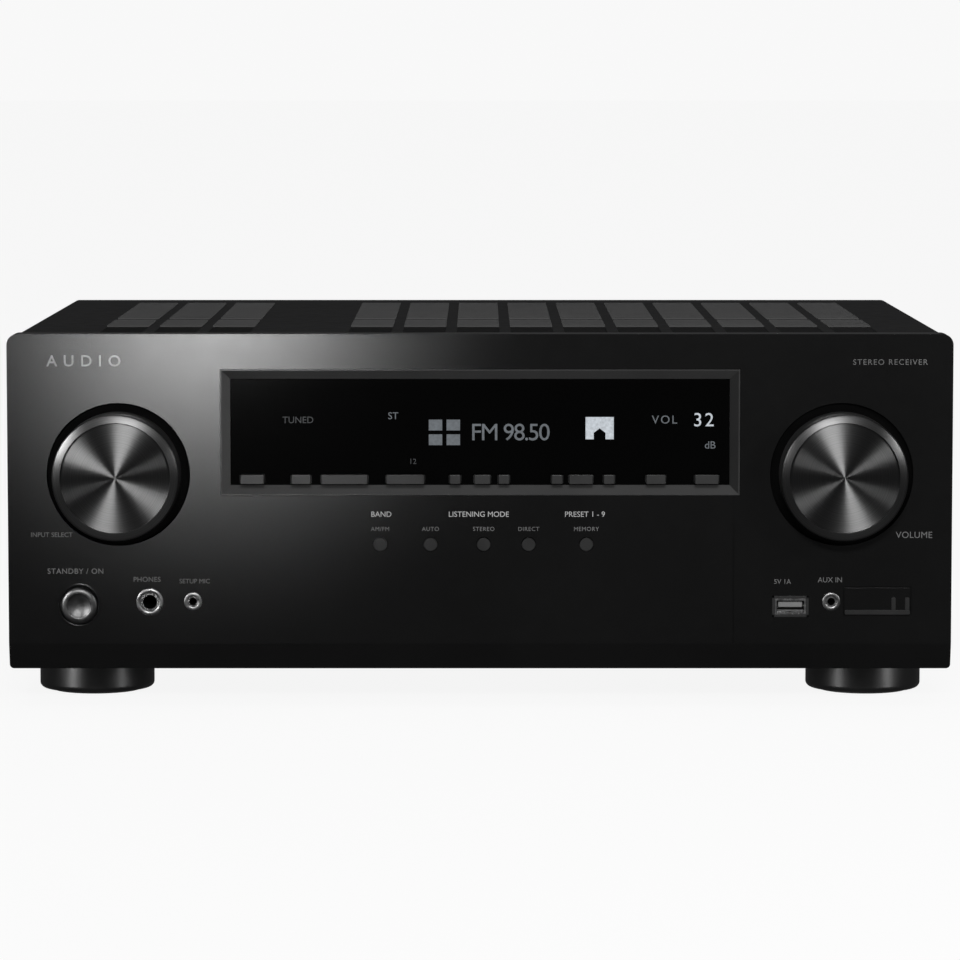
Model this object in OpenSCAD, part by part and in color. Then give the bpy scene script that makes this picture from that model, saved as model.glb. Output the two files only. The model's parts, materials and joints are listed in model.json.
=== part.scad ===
// Stereo receiver: a home audio receiver in a steel case with a moulded front panel.
// Millimetres. +X is to the right seen from the front, +Y runs to the rear, +Z is up.
// The origin is at the bottom centre of the bounding box, on the surface it stands on.

/* [Case] */
// Width of the front panel
body_w = 435; // [431:1:440]
// Height of the front panel
panel_h = 155; // [152:1:160]
// Depth from the panel's face to the rear panel
case_d = 335; // [330:1:345]
// Depth of the moulded front panel
panel_d = 14.25; // [14.25:0.25:16]
// Thickness of the panel's face wall
face_wall = 3; // [2.6:0.1:3.2]
// Height of the feet, pads included
foot_h = 18; // [16:1:22]

/* [Knobs] */
// Distance of each knob's axis from the middle
knob_x = 166.5; // [160:0.5:170]
// Height of the knobs' axes
knob_z = 108.3; // [106:0.1:112]
// Knob radius at its skirt
knob_r = 29; // [26:0.5:30]
// How far a knob stands out of the face
knob_out = 21; // [18:1:24]

/* [Display] */
// Half width of the bezel
bezel_hw = 119.5; // [118:0.5:121]
// Lower edge of the bezel
bezel_z0 = 98.7; // [98:0.1:99.5]
// Upper edge of the bezel
bezel_z1 = 156.7; // [156:0.1:160]
// Width of the bezel's sloping frame
bezel_w = 4.5; // [4:0.1:5]

/* [Cover] */
// Half width of the steel cover
cover_hw = 216.5; // [216:0.1:217]
// Thickness of the steel cover
cover_t = 1; // [0.8:0.1:1.2]
// Distance between columns of vent slots
vent_pitch = 25.2; // [24.5:0.1:25.6]
// Length of one vent slot
vent_len = 20; // [18:1:21]

/* [Rear] */
// How far the speaker terminals stand out of the rear panel
post_out = 14.5; // [12.5:0.5:16]
// Distance between speaker terminals
post_pitch = 19; // [18:0.5:22]

/* [Hidden] */
KEYS = 12;
LOWER_KEYS = 5;
POSTS = 4;
$fn = 96;

// Depth stations. The box runs from the knobs' fronts to the speaker terminals' ends.
face_y = knob_out - (knob_out + case_d + post_out) / 2;
rear_y = face_y + case_d;
sheet = 1.2;
panel_back = face_y + panel_d;
wall_back = face_y + face_wall;
lens_y0 = face_y + 3;
lens_t = 2;
board_t = 1.6;
board_y0 = face_y + 10.9;
board_y1 = board_y0 + board_t;
frame_y1 = panel_back + sheet;
rear_in = rear_y - sheet;

// Height stations
panel_z0 = foot_h;
panel_z1 = foot_h + panel_h;
base_z0 = foot_h + 1;
base_z1 = base_z0 + sheet;
cover_z1 = panel_z1 - 1;
cover_in = cover_hw - cover_t;
corner_r = 5;
low_corner_r = 2;
bend_r = 4;

// The lower band of the panel slopes back
band_h = 12;
band_slope = 3.2;

// Display opening inside the bezel
win_hw = bezel_hw - bezel_w;
win_z0 = bezel_z0 + bezel_w;
win_z1 = bezel_z1 - bezel_w;
bezel_land = 0.5;
bezel_d = 6;
seam = 0.15;

// Keys under the display: centre and width of each
key_x = [-105, -82.5, -62.5, -34.5, -11.5, 1, 11, 35.5, 46.5, 59.5, 81, 104.5];
key_w = [11, 9, 21.5, 17.5, 5, 7.5, 5, 5, 11, 5, 9, 11];
key_z0 = win_z0 + 0.5;
key_z1 = key_z0 + 4.3;
key_gap = 0.4;
key_proud = 1.8;
key_back = face_y + 7.8;
switch_y0 = face_y + 8.7;

// Small round keys on the lower panel
lower_x = [-46, -22.8, 1.7, 22.4, 49];
lower_z = 76;
lower_r = 3;

// Power button
power_x = -184.9;
power_z = 47.6;
power_r = 8.6;

// Sockets on the front
phones_x = -152.3;
phones_z = 49.3;
phones_ring_r = 6.3;
phones_bore_r = 3.25;
phones_bore_l = 30;
mic_x = -132.4;
aux_x = 162;
mini_z = 49.5;
mini_ring_r = 4.2;
mini_bore_r = 1.8;
mini_bore_l = 14;
usb_x = 143.2;
usb_z = 47.2;
cap_x0 = 167.7;
cap_x1 = 199;
cap_z0 = 43;
cap_z1 = 56.3;
cap_mid = (cap_x0 + cap_x1) / 2;
cap_mid_z = (cap_z0 + cap_z1) / 2;

// Knobs and their shafts
well_r = 33;
well_d = 2.5;
well_floor = 2;
shaft_r = 3;
fit_gap = 0.05;
bushing_r = 4.5;
knob_face_r = 26.5;
knob_back = face_y + 1.2;
knob_front = face_y - knob_out;

// Feet
foot_x = 182.5;
foot_front_y = face_y + 70;
foot_rear_y = rear_y - 55;
foot_r = 27.2;
pad_t = 1;

// Vent slots in the cover
vent_w = 4.4;
vent_step = 8;
vent_right_x = 175.5;
vent_left_x = -117;
vent_front_y0 = face_y + 32;
vent_front_n = 12;
vent_rear_y0 = face_y + 148;
vent_rear_n = 18;

// Boards
amp_x0 = -40;
amp_x1 = 206;
amp_y0 = -120;
amp_y1 = 60;
amp_z0 = 30;
amp_z1 = amp_z0 + board_t;
main_x0 = -100;
main_x1 = 206;
main_y0 = 66;
main_y1 = 164;
main_z0 = 96;
main_z1 = main_z0 + board_t;
front_board_hw = 204;
front_board_z0 = 36;
front_board_z1 = 118;

// Heat sink
sink_x0 = -30;
sink_x1 = 196;
sink_y0 = -30;
sink_y1 = 30;
sink_z1 = 132;
sink_base = 6;
fin_t = 2;
fins = 19;

// Transformer
trafo_x = -150;
trafo_y = -40;
core_w = 84;
core_d = 50;
core_h = 70;
leg_w = 28;
slot_w = 13;
slot_h = 42;

// Rear connectors
post_x0 = -85;
post_z = 62;
post_r = 3;
banana_r = 2.05;
banana_l = 12;
cap_r = 6.2;
block_t = 4;
rca_x0 = 70;
rca_pitch = 24;
rca_cols = 5;
rca_z = [48, 70];
rca_r = 4.15;
rca_l = 8;
rca_collar_r = 5.6;
video_x0 = 30;
video_pitch = 26;
video_n = 5;
video_w = 15;
video_h = 6;
video_d = 12;
inlet_x = -185;
inlet_z = 55;
tuner_x0 = -95;
tuner_x1 = -45;
aerial_r = 4.7;
aerial_collar_r = 5.2;
aerial_l = 9;
aerial_x = -70;
aerial_z = 110;

// Screws
screw_r = 1.4;
screw_hole_r = 1.6;
head_r = 2.8;
head_h = 1.9;
boss_r = 4;
boss_bore_r = 1.5;
boss_at = [[-203, 158], [-128, 163], [0, 165], [128, 163], [203, 158], [-205, 29], [0, 29], [205, 29]];
side_screw_y = [-90, 50];
side_screw_z = 34;
lip_screw_x = [-180, -60, 60, 180];
lip_z0 = cover_z1 - 10;
lip_screw_z = lip_z0 + 5;

// ---------- helpers ----------

// A block between two corners
module block(x, y, z) {
    translate([x[0], y[0], z[0]]) cube([x[1] - x[0], y[1] - y[0], z[1] - z[0]]);
}

// A cylinder along Y
module y_rod(r, y, x = 0, z = 0) {
    translate([x, y[0], z]) rotate([-90, 0, 0]) cylinder(r = r, h = y[1] - y[0]);
}

// A cylinder along X
module x_rod(r, x, y = 0, z = 0) {
    translate([x[0], y, z]) rotate([0, 90, 0]) cylinder(r = r, h = x[1] - x[0]);
}

// A flat outline in X and Z, drawn through a depth along Y
module y_extrude(y) {
    translate([0, y[1], 0]) rotate([90, 0, 0]) linear_extrude(height = y[1] - y[0]) children();
}

// A flat outline in Y and Z, drawn along X
module x_extrude(x) {
    translate([x[0], 0, 0]) rotate([90, 0, 90]) linear_extrude(height = x[1] - x[0]) children();
}

// A rectangle with round corners, whose lower pair may have a radius of their own
module rounded(x, z, r, low_r = undef) {
    b = is_undef(low_r) ? r : low_r;
    w = x[1] - x[0];
    translate([x[0], z[0] + b]) square([w, z[1] - z[0] - r - b]);
    translate([x[0] + r, z[1] - r - 1]) square([w - 2 * r, r + 1]);
    translate([x[0] + b, z[0]]) square([w - 2 * b, b + 1]);
    for (cx = [x[0] + r, x[1] - r]) translate([cx, z[1] - r]) circle(r = r);
    for (cx = [x[0] + b, x[1] - b]) translate([cx, z[0] + b]) circle(r = b);
}

// ---------- case ----------

// Steel tray with side flanges, stamped stand-offs for the boards and vent slots
module chassis_base() {
    color("dimgray") difference() {
        union() {
            block([-cover_in, cover_in], [panel_back, rear_in], [base_z0, base_z1]);
            for (s = [-1, 1]) {
                x0 = s > 0 ? cover_in - sheet : -cover_in;
                block([x0, x0 + sheet], [panel_back + 2, rear_in], [base_z0, 60]);
            }
            for (x = [amp_x0 + 8, amp_x1 - 8]) for (y = [amp_y0 + 8, amp_y1 - 8])
                translate([x, y, base_z1]) cylinder(r = 3, h = amp_z0 - base_z1);
            for (x = [main_x0 + 8, main_x1 - 8]) for (y = [main_y0 + 8, main_y1 - 20])
                translate([x, y, base_z1]) cylinder(r = 3.5, h = main_z0 - base_z1);
        }
        for (x = [-foot_x, foot_x]) for (y = [foot_front_y, foot_rear_y])
            translate([x, y, base_z0 - 1]) cylinder(r = 2.2, h = sheet + 2);
        for (i = [0:7]) for (j = [0:1])
            block([-12 + 24 * i, 8 + 24 * i], [-76 + 76 * j, -71 + 76 * j], [base_z0 - 1, base_z1 + 1]);
        for (s = [-1, 1]) for (y = side_screw_y)
            x_rod(screw_hole_r, s > 0 ? [cover_in - 3, cover_in + 3] : [-cover_in - 3, -cover_in + 3],
                y, side_screw_z);
    }
}

// Openings that the front sockets pass through, used in the board and in the steel frame
module socket_openings(y) {
    block([phones_x - 9, phones_x + 9], y, [phones_z - 9, phones_z + 9]);
    for (x = [mic_x, aux_x]) block([x - 6.5, x + 6.5], y, [mini_z - 6.5, mini_z + 6.5]);
    block([usb_x - 8.5, usb_x + 8.5], y, [usb_z - 5, usb_z + 5]);
    block([cap_mid - 8.5, cap_mid + 8.5], y, [cap_mid_z - 4.5, cap_mid_z + 4.5]);
}

// Steel frame behind the front panel, with spacers for the front board
module front_subframe() {
    color("silver") difference() {
        union() {
            block([-212, 212], [panel_back, frame_y1], [base_z1, 169]);
            for (x = [-198, -90, 90, 198]) for (z = [40, 96]) y_rod(3, [board_y1, panel_back], x, z);
        }
        socket_openings([panel_back - 1, frame_y1 + 1]);
        block([-90, 90], [panel_back - 1, frame_y1 + 1], [112, 152]);
        block([-36, 36], [panel_back - 1, frame_y1 + 1], [56, 64]);
        for (p = boss_at) y_rod(screw_hole_r, [panel_back - 1, frame_y1 + 1], p[0], p[1]);
    }
}

// Steel rear panel with its connector openings
module rear_panel() {
    color("dimgray") difference() {
        y_extrude([rear_in, rear_y])
            rounded([-cover_in + 0.3, cover_in - 0.3], [base_z0, cover_z1 - cover_t - 0.3], bend_r);
        block([post_x0 - 12, post_x0 + 3 * post_pitch + 12], [rear_in - 1, rear_y + 1],
            [post_z - 10, post_z + 10]);
        for (i = [0:rca_cols - 1]) for (z = rca_z)
            y_rod(rca_collar_r + 0.2, [rear_in - 1, rear_y + 1], rca_x0 + rca_pitch * i, z);
        for (i = [0:video_n - 1]) {
            x = video_x0 + video_pitch * i;
            block([x - video_w / 2 - 0.3, x + video_w / 2 + 0.3], [rear_in - 1, rear_y + 1],
                [main_z1 - 0.3, main_z1 + video_h + 0.3]);
        }
        block([inlet_x - 14.2, inlet_x + 14.2], [rear_in - 1, rear_y + 1], [inlet_z - 10.2, inlet_z + 10.2]);
        y_rod(aerial_collar_r + 0.3, [rear_in - 1, rear_y + 1], aerial_x, aerial_z);
        for (x = lip_screw_x) y_rod(screw_hole_r, [rear_in - 1, rear_y + 1], x, lip_screw_z);
    }
}

// Outline of the folded cover: a bridge with round bends, open at the bottom
module cover_outline() {
    difference() {
        union() {
            rounded([-cover_hw, cover_hw], [100, cover_z1], bend_r);
            translate([-cover_hw, base_z0 + 0.5]) square([2 * cover_hw, 120 - base_z0]);
        }
        union() {
            rounded([-cover_in, cover_in], [100, cover_z1 - cover_t], bend_r - cover_t);
            translate([-cover_in, 0]) square([2 * cover_in, 120]);
        }
    }
}

// One column of vent slots, centred on x
module vent_column(x) {
    for (j = [0:vent_front_n - 1])
        translate([x - vent_len / 2, vent_front_y0 + vent_step * j, cover_z1 - 3])
            cube([vent_len, vent_w, 5]);
    for (j = [0:vent_rear_n - 1])
        translate([x - vent_len / 2, vent_rear_y0 + vent_step * j, cover_z1 - 3])
            cube([vent_len, vent_w, 5]);
}

// Folded steel cover with vent slots on top and on both sides, and a lip over the rear panel
module top_cover() {
    color([0.12, 0.12, 0.125]) difference() {
        union() {
            y_extrude([panel_back + 0.5, rear_y + cover_t]) cover_outline();
            block([-cover_in + 1, cover_in - 1], [rear_y, rear_y + cover_t], [lip_z0, cover_z1 - cover_t]);
        }
        for (i = [0:9]) vent_column(vent_right_x - vent_pitch * i);
        for (i = [0:2]) vent_column(vent_left_x - vent_pitch * i);
        for (i = [0:13])
            translate([-cover_hw - 1, -50 + vent_step * i, 96]) cube([2 * cover_hw + 2, 3.5, 36]);
        for (y = side_screw_y) x_rod(screw_hole_r, [-cover_hw - 1, cover_hw + 1], y, side_screw_z);
        for (x = lip_screw_x) y_rod(screw_hole_r, [rear_y - 1, rear_y + 3], x, lip_screw_z);
    }
}

// ---------- front panel ----------

// Side profile of the panel: upright face with a band that slopes back at the bottom
module panel_profile() {
    polygon([[face_y + band_slope, panel_z0], [face_y, panel_z0 + band_h], [face_y, panel_z1],
             [panel_back, panel_z1], [panel_back, panel_z0]]);
}

// Moulded front panel: a shallow box open at the back, with wells, bosses and openings
module front_panel() {
    hw = body_w / 2;
    color([0.1, 0.1, 0.105]) difference() {
        union() {
            difference() {
                intersection() {
                    y_extrude([face_y, panel_back])
                        rounded([-hw, hw], [panel_z0, panel_z1], corner_r, low_corner_r);
                    x_extrude([-hw, hw]) panel_profile();
                }
                block([-hw + face_wall, hw - face_wall], [wall_back, panel_back + 1], [33, panel_z1 - face_wall]);
                block([-hw + face_wall, hw - face_wall], [face_y + 6.5, panel_back + 1], [21, 34]);
            }
            for (s = [-1, 1])
                y_rod(well_r + 2, [wall_back - 1, face_y + well_d + well_floor], s * knob_x, knob_z);
            for (p = boss_at) y_rod(boss_r, [wall_back - 1, panel_back], p[0], p[1]);
        }
        block([-bezel_hw - seam, bezel_hw + seam], [face_y - 1, wall_back + 1],
            [bezel_z0 - seam, bezel_z1 + seam]);
        for (s = [-1, 1]) {
            y_rod(well_r, [face_y - 1, face_y + well_d], s * knob_x, knob_z);
            y_rod(bushing_r + 0.3, [face_y, face_y + 6], s * knob_x, knob_z);
            block([s * 116.8 - 0.4, s * 116.8 + 0.4], [face_y - 1, face_y + 0.6],
                [panel_z0 + band_h, bezel_z0 - 1]);
        }
        for (x = lower_x) y_rod(lower_r + 0.35, [face_y - 1, wall_back + 1], x, lower_z);
        y_rod(power_r + 0.4, [face_y - 1, wall_back + 1], power_x, power_z);
        y_rod(phones_ring_r + 0.1, [face_y - 1, wall_back + 1], phones_x, phones_z);
        for (x = [mic_x, aux_x]) y_rod(mini_ring_r + 0.1, [face_y - 1, wall_back + 1], x, mini_z);
        block([usb_x - 7.6, usb_x + 7.6], [face_y - 1, wall_back + 1], [usb_z - 4.1, usb_z + 4.1]);
        block([cap_x0, cap_x1], [face_y - 1, face_y + 2.2], [cap_z0, cap_z1]);
        block([cap_mid - 12, cap_mid + 12], [face_y, wall_back + 1], [cap_mid_z - 5, cap_mid_z + 5]);
        for (p = boss_at) y_rod(boss_bore_r, [panel_back - 6.5, panel_back + 1], p[0], p[1]);
    }
}

// The space inside the bezel: a tapered mouth, made from two crossing wedges, then a straight hole
module bezel_mouth() {
    hx = bezel_hw - bezel_land;
    intersection() {
        translate([0, 0, bezel_z0]) linear_extrude(height = bezel_z1 - bezel_z0)
            polygon([[-hx, face_y], [hx, face_y], [win_hw, lens_y0], [-win_hw, lens_y0]]);
        x_extrude([-bezel_hw, bezel_hw])
            polygon([[face_y, bezel_z0 + bezel_land], [face_y, bezel_z1 - bezel_land],
                     [lens_y0, win_z1], [lens_y0, win_z0]]);
    }
    block([-win_hw, win_hw], [lens_y0 - 0.5, face_y + bezel_d + 1], [win_z0, win_z1]);
    block([-hx, hx], [face_y - 1, face_y + 0.01], [bezel_z0 + bezel_land, bezel_z1 - bezel_land]);
}

// Frame around the display, its inner faces sloping back to the window
module display_bezel() {
    color([0.16, 0.16, 0.17]) difference() {
        block([-bezel_hw, bezel_hw], [face_y, face_y + bezel_d], [bezel_z0, bezel_z1]);
        bezel_mouth();
    }
}

// Tinted window, notched along its lower edge where the keys come through
module display_window() {
    color([0.02, 0.02, 0.02]) difference() {
        block([-win_hw + 0.2, win_hw - 0.2], [lens_y0, lens_y0 + lens_t], [win_z0 + 0.2, win_z1 - 0.2]);
        for (i = [0:KEYS - 1])
            block([key_x[i] - key_w[i] / 2 - key_gap, key_x[i] + key_w[i] / 2 + key_gap],
                [lens_y0 - 1, lens_y0 + lens_t + 1], [win_z0 - 1, key_z1 + key_gap]);
    }
}

// Key under the window: cap, retaining flange behind the window and push face
module display_key(i) {
    x0 = key_x[i] - key_w[i] / 2;
    x1 = key_x[i] + key_w[i] / 2;
    flange_y0 = lens_y0 + lens_t + 0.4;
    color([0.15, 0.15, 0.155]) union() {
        block([x0, x1], [lens_y0 - key_proud, key_back], [key_z0, key_z1]);
        block([x0 - 0.7, x1 + 0.7], [flange_y0, flange_y0 + 1], [key_z0, key_z1]);
    }
}

// Small round key with a retaining flange behind the panel's wall
module lower_key(i) {
    color([0.08, 0.08, 0.085]) union() {
        y_rod(lower_r, [face_y - 0.6, wall_back + 0.6], lower_x[i], lower_z);
        y_rod(lower_r + 1.2, [wall_back + 0.4, wall_back + 1.4], lower_x[i], lower_z);
        y_rod(1.5, [wall_back + 1, key_back], lower_x[i], lower_z);
    }
}

// Round power button with a domed front, turned in one piece with its flange and stem
module power_button() {
    dome_h = 1.6;
    dome_r = (power_r * power_r + dome_h * dome_h) / (2 * dome_h);
    tip_y = face_y - 0.6 - dome_h;
    flange_d = wall_back + 0.4 - tip_y;
    color("silver") translate([power_x, tip_y, power_z]) rotate([-90, 0, 0]) rotate_extrude() {
        intersection() {
            translate([0, dome_r]) circle(r = dome_r);
            square([power_r, dome_h + 0.01]);
        }
        translate([0, dome_h]) square([power_r, flange_d + 0.2 - dome_h]);
        translate([0, flange_d]) square([power_r + 1.4, 1.2]);
        translate([0, flange_d + 1]) square([2.5, key_back - tip_y - flange_d - 1]);
    }
}

// Push switches behind every key and the power button
module tact_switches() {
    color("gray") for (p = concat(
        [for (x = key_x) [x, (key_z0 + key_z1) / 2]],
        [for (x = lower_x) [x, lower_z]],
        [[power_x, power_z]])) {
        block([p[0] - 2.25, p[0] + 2.25], [switch_y0 + 0.5, board_y0], [p[1] - 2.25, p[1] + 2.25]);
        y_rod(1.2, [switch_y0, switch_y0 + 0.6], p[0], p[1]);
    }
}

// Rotary encoders: body, threaded bushing through the well floor and a bore for the shaft
module rotary_encoders() {
    color("silver") for (s = [-1, 1]) {
        difference() {
            union() {
                block([s * knob_x - 6.5, s * knob_x + 6.5], [face_y + well_d + well_floor + 0.2, board_y0],
                    [knob_z - 6.5, knob_z + 6.5]);
                y_rod(bushing_r, [face_y + 0.9, face_y + well_d + well_floor + 0.3], s * knob_x, knob_z);
            }
            y_rod(shaft_r + fit_gap, [face_y, board_y0 - 1], s * knob_x, knob_z);
        }
    }
}

// Encoder shaft, from the encoder into the knob's hub
module knob_shaft(s) {
    color("gainsboro") y_rod(shaft_r, [knob_front + 5, board_y0 - 1.4], s * knob_x, knob_z);
}

// Turned knob: chamfered rim, hollow back and a hub with a blind bore
module knob(s) {
    hub_back = face_y + 0.4;
    depth = knob_back - knob_front;
    color([0.35, 0.35, 0.36]) translate([s * knob_x, knob_front, knob_z]) rotate([-90, 0, 0])
        rotate_extrude() polygon([
            [0, 0.6], [knob_face_r - 1, 0.6], [knob_face_r - 0.6, 0], [knob_face_r, 0], [knob_r, 3.2],
            [knob_r, depth], [knob_r - 2, depth], [knob_r - 2, 4.5], [7, 4.5], [7, hub_back - knob_front],
            [shaft_r + fit_gap, hub_back - knob_front], [shaft_r + fit_gap, 4.6], [0, 4.6]]);
}

// 6.35 mm headphone socket: threaded ring, body and blind bore
module headphone_jack() {
    y0 = face_y - 0.6;
    color("silver") difference() {
        union() {
            y_rod(phones_ring_r, [y0, wall_back + 0.6], phones_x, phones_z);
            block([phones_x - 8, phones_x + 8], [wall_back + 0.2, y0 + phones_bore_l + 2],
                [phones_z - 8, phones_z + 8]);
        }
        y_rod(phones_bore_r, [y0 - 1, y0 + phones_bore_l], phones_x, phones_z);
    }
}

// 3.5 mm sockets for the microphone and the aux input: ring, body and blind bore
module mini_jacks() {
    y0 = face_y - 0.4;
    color("silver") for (x = [mic_x, aux_x]) difference() {
        union() {
            y_rod(mini_ring_r, [y0, wall_back + 0.6], x, mini_z);
            block([x - 5.5, x + 5.5], [wall_back + 0.2, y0 + mini_bore_l + 2], [mini_z - 5.5, mini_z + 5.5]);
        }
        y_rod(mini_bore_r, [y0 - 1, y0 + mini_bore_l], x, mini_z);
    }
}

// USB socket: shell with a contact tongue in its upper half
module usb_port() {
    color("silver") {
        difference() {
            block([usb_x - 7.3, usb_x + 7.3], [face_y - 0.2, face_y + 18], [usb_z - 3.8, usb_z + 3.8]);
            block([usb_x - 6.3, usb_x + 6.3], [face_y - 1, face_y + 13], [usb_z - 2.7, usb_z + 2.7]);
        }
        block([usb_x - 5.5, usb_x + 5.5], [face_y + 1.5, face_y + 14], [usb_z + 0.1, usb_z + 1.9]);
    }
}

// Video socket, seen from its mouth: shell with chamfered lower corners and a tongue
module video_socket_shell(w, h, y) {
    difference() {
        block([-w / 2, w / 2], y, [0, h]);
        y_extrude([y[0] + 1.5, y[1] + 1]) polygon([
            [-w / 2 + 2, 0.7], [w / 2 - 2, 0.7], [w / 2 - 0.5, 2.2], [w / 2 - 0.5, h - 0.6],
            [-w / 2 + 0.5, h - 0.6], [-w / 2 + 0.5, 2.2]]);
    }
    block([-w / 2 + 2.2, w / 2 - 2.2], [y[0] + 1, y[1] - 2], [h / 2 - 0.2, h / 2 + 0.8]);
}

// Video socket behind the cap on the front
module front_video_port() {
    color("silver") translate([cap_mid, 0, cap_mid_z - video_h / 2]) mirror([0, 1, 0])
        video_socket_shell(video_w, video_h, [-face_y - 17, -face_y - 2.9]);
}

// Pull-off cap over the front video socket, with a finger notch
module video_cap() {
    color([0.1, 0.1, 0.105]) difference() {
        block([cap_x0 + 0.3, cap_x1 - 0.3], [face_y, face_y + 1.9], [cap_z0 + 0.3, cap_z1 - 0.3]);
        block([cap_mid - 5, cap_mid + 5], [face_y - 1, face_y + 0.9], [cap_z0 - 1, cap_z0 + 1.8]);
    }
}

// ---------- inside ----------

// Display module behind the window
module display_module() {
    color("darkslategray") block([-82, 82], [lens_y0 + lens_t + 0.4, board_y0], [111, 151]);
}

// Front board with the switches and encoders, cut out around the sockets
module front_board() {
    color("darkgreen") difference() {
        block([-front_board_hw, front_board_hw], [board_y0, board_y1], [front_board_z0, front_board_z1]);
        socket_openings([board_y0 - 1, board_y1 + 1]);
    }
}

module main_board() {
    color("darkgreen") block([main_x0, main_x1], [main_y0, main_y1], [main_z0, main_z1]);
}

module amplifier_board() {
    color("darkgreen") block([amp_x0, amp_x1], [amp_y0, amp_y1], [amp_z0, amp_z1]);
}

// Flat cable from the front board, over the heat sink, to the main board
module ribbon_cable() {
    color("lightgray") x_extrude([-20, 20]) polygon([
        [board_y1, 58], [board_y1, 59], [-130.8, 59], [-130.8, 140], [main_y0 + 16, 140],
        [main_y0 + 16, main_z1], [main_y0 + 15, main_z1], [main_y0 + 15, 139], [-129.8, 139],
        [-129.8, 58]]);
}

// Extruded heat sink: upright plate with fins towards the front
module heat_sink() {
    color("silver") translate([0, 0, amp_z1]) linear_extrude(height = sink_z1 - amp_z1) {
        translate([sink_x0, sink_y1 - sink_base]) square([sink_x1 - sink_x0, sink_base]);
        for (i = [0:fins - 1])
            translate([sink_x0 + (sink_x1 - sink_x0 - fin_t) / (fins - 1) * i, sink_y0])
                square([fin_t, sink_y1 - sink_y0]);
    }
}

// Output transistors clamped to the heat sink's plate
module output_transistors() {
    color([0.1, 0.1, 0.1]) for (i = [0:5]) {
        x = sink_x0 + 22 + 36 * i;
        block([x - 8, x + 8], [sink_y1, sink_y1 + 5], [62, 84]);
    }
}

// Laminated transformer core: a block with two windows beside its middle leg
module transformer_core() {
    z0 = base_z1;
    color("gray") difference() {
        block([trafo_x - core_w / 2, trafo_x + core_w / 2], [trafo_y - core_d / 2, trafo_y + core_d / 2],
            [z0, z0 + core_h]);
        for (s = [-1, 1]) {
            x = trafo_x + s * (leg_w + slot_w) / 2;
            block([x - slot_w / 2, x + slot_w / 2], [trafo_y - core_d / 2 - 1, trafo_y + core_d / 2 + 1],
                [z0 + (core_h - slot_h) / 2, z0 + (core_h + slot_h) / 2]);
        }
    }
}

// Winding around the middle leg, through both windows
module transformer_coil() {
    gap = 0.3;
    zc = base_z1 + core_h / 2;
    hx = leg_w / 2 + slot_w - gap;
    color("peru") difference() {
        block([trafo_x - hx, trafo_x + hx], [trafo_y - core_d / 2 - 8, trafo_y + core_d / 2 + 8],
            [zc - slot_h / 2 + gap, zc + slot_h / 2 - gap]);
        block([trafo_x - leg_w / 2 - gap, trafo_x + leg_w / 2 + gap],
            [trafo_y - core_d / 2 - gap, trafo_y + core_d / 2 + gap], [zc - slot_h, zc + slot_h]);
    }
}

module filter_capacitors() {
    color("navy") for (x = [20, 66]) translate([x, -85, amp_z1]) cylinder(r = 17.5, h = 50);
}

// Tuner can on the main board, with its threaded aerial socket through the rear panel
module tuner_module() {
    color("silver") union() {
        block([tuner_x0, tuner_x1], [main_y1 - 40, rear_in - 0.3], [main_z1, aerial_z + 12]);
        y_rod(aerial_collar_r, [rear_in - 1, rear_y + 1], aerial_x, aerial_z);
        y_rod(aerial_r, [rear_y + 0.9, rear_y + 1 + aerial_l], aerial_x, aerial_z);
    }
}

// ---------- rear connectors ----------

// Moulded terminal block: base plate on the rear panel and a tongue through it
module speaker_terminal_block() {
    x0 = post_x0;
    x1 = post_x0 + (POSTS - 1) * post_pitch;
    color([0.12, 0.12, 0.12]) difference() {
        union() {
            y_extrude([rear_y, rear_y + block_t]) rounded([x0 - 15, x1 + 15], [post_z - 15, post_z + 15], 3);
            block([x0 - 11.7, x1 + 11.7], [rear_y - 6, rear_y + 1], [post_z - 9.7, post_z + 9.7]);
        }
        for (i = [0:POSTS - 1])
            y_rod(post_r + fit_gap, [rear_y - 7, rear_y + block_t + 1], x0 + post_pitch * i, post_z);
    }
}

// Metal posts, drilled for 4 mm plugs
module speaker_posts() {
    y1 = rear_y + post_out - 0.5;
    color("gold") for (i = [0:POSTS - 1]) {
        x = post_x0 + post_pitch * i;
        difference() {
            union() {
                y_rod(post_r, [rear_y - 12, y1], x, post_z);
                y_rod(post_r + 2, [rear_y - 8, rear_y - 6], x, post_z);
            }
            y_rod(banana_r, [y1 - banana_l, y1 + 1], x, post_z);
        }
    }
}

// Turning cap on a post
module terminal_cap(i) {
    y0 = rear_y + block_t + 0.5;
    color(i % 2 == 0 ? "firebrick" : [0.1, 0.1, 0.1]) difference() {
        y_rod(cap_r, [y0, rear_y + post_out], post_x0 + post_pitch * i, post_z);
        y_rod(post_r + fit_gap, [y0 - 1, rear_y + post_out + 1], post_x0 + post_pitch * i, post_z);
    }
}

// Phono sockets in two rows: body inside, collar and barrel outside
module rca_jacks() {
    color("gainsboro") for (i = [0:rca_cols - 1]) for (z = rca_z) {
        x = rca_x0 + rca_pitch * i;
        difference() {
            union() {
                block([x - 7, x + 7], [rear_in - 13, rear_in - 0.2], [z - 7, z + 7]);
                y_rod(rca_collar_r, [rear_in - 0.3, rear_y + 1], x, z);
                y_rod(rca_r, [rear_y + 0.9, rear_y + 1 + rca_l], x, z);
            }
            y_rod(1.6, [rear_y + 2, rear_y + 2 + rca_l], x, z);
        }
    }
}

module video_ports() {
    color("silver") for (i = [0:video_n - 1]) translate([video_x0 + video_pitch * i, 0, main_z1])
        video_socket_shell(video_w, video_h, [rear_y - video_d, rear_y + 0.6]);
}

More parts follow.
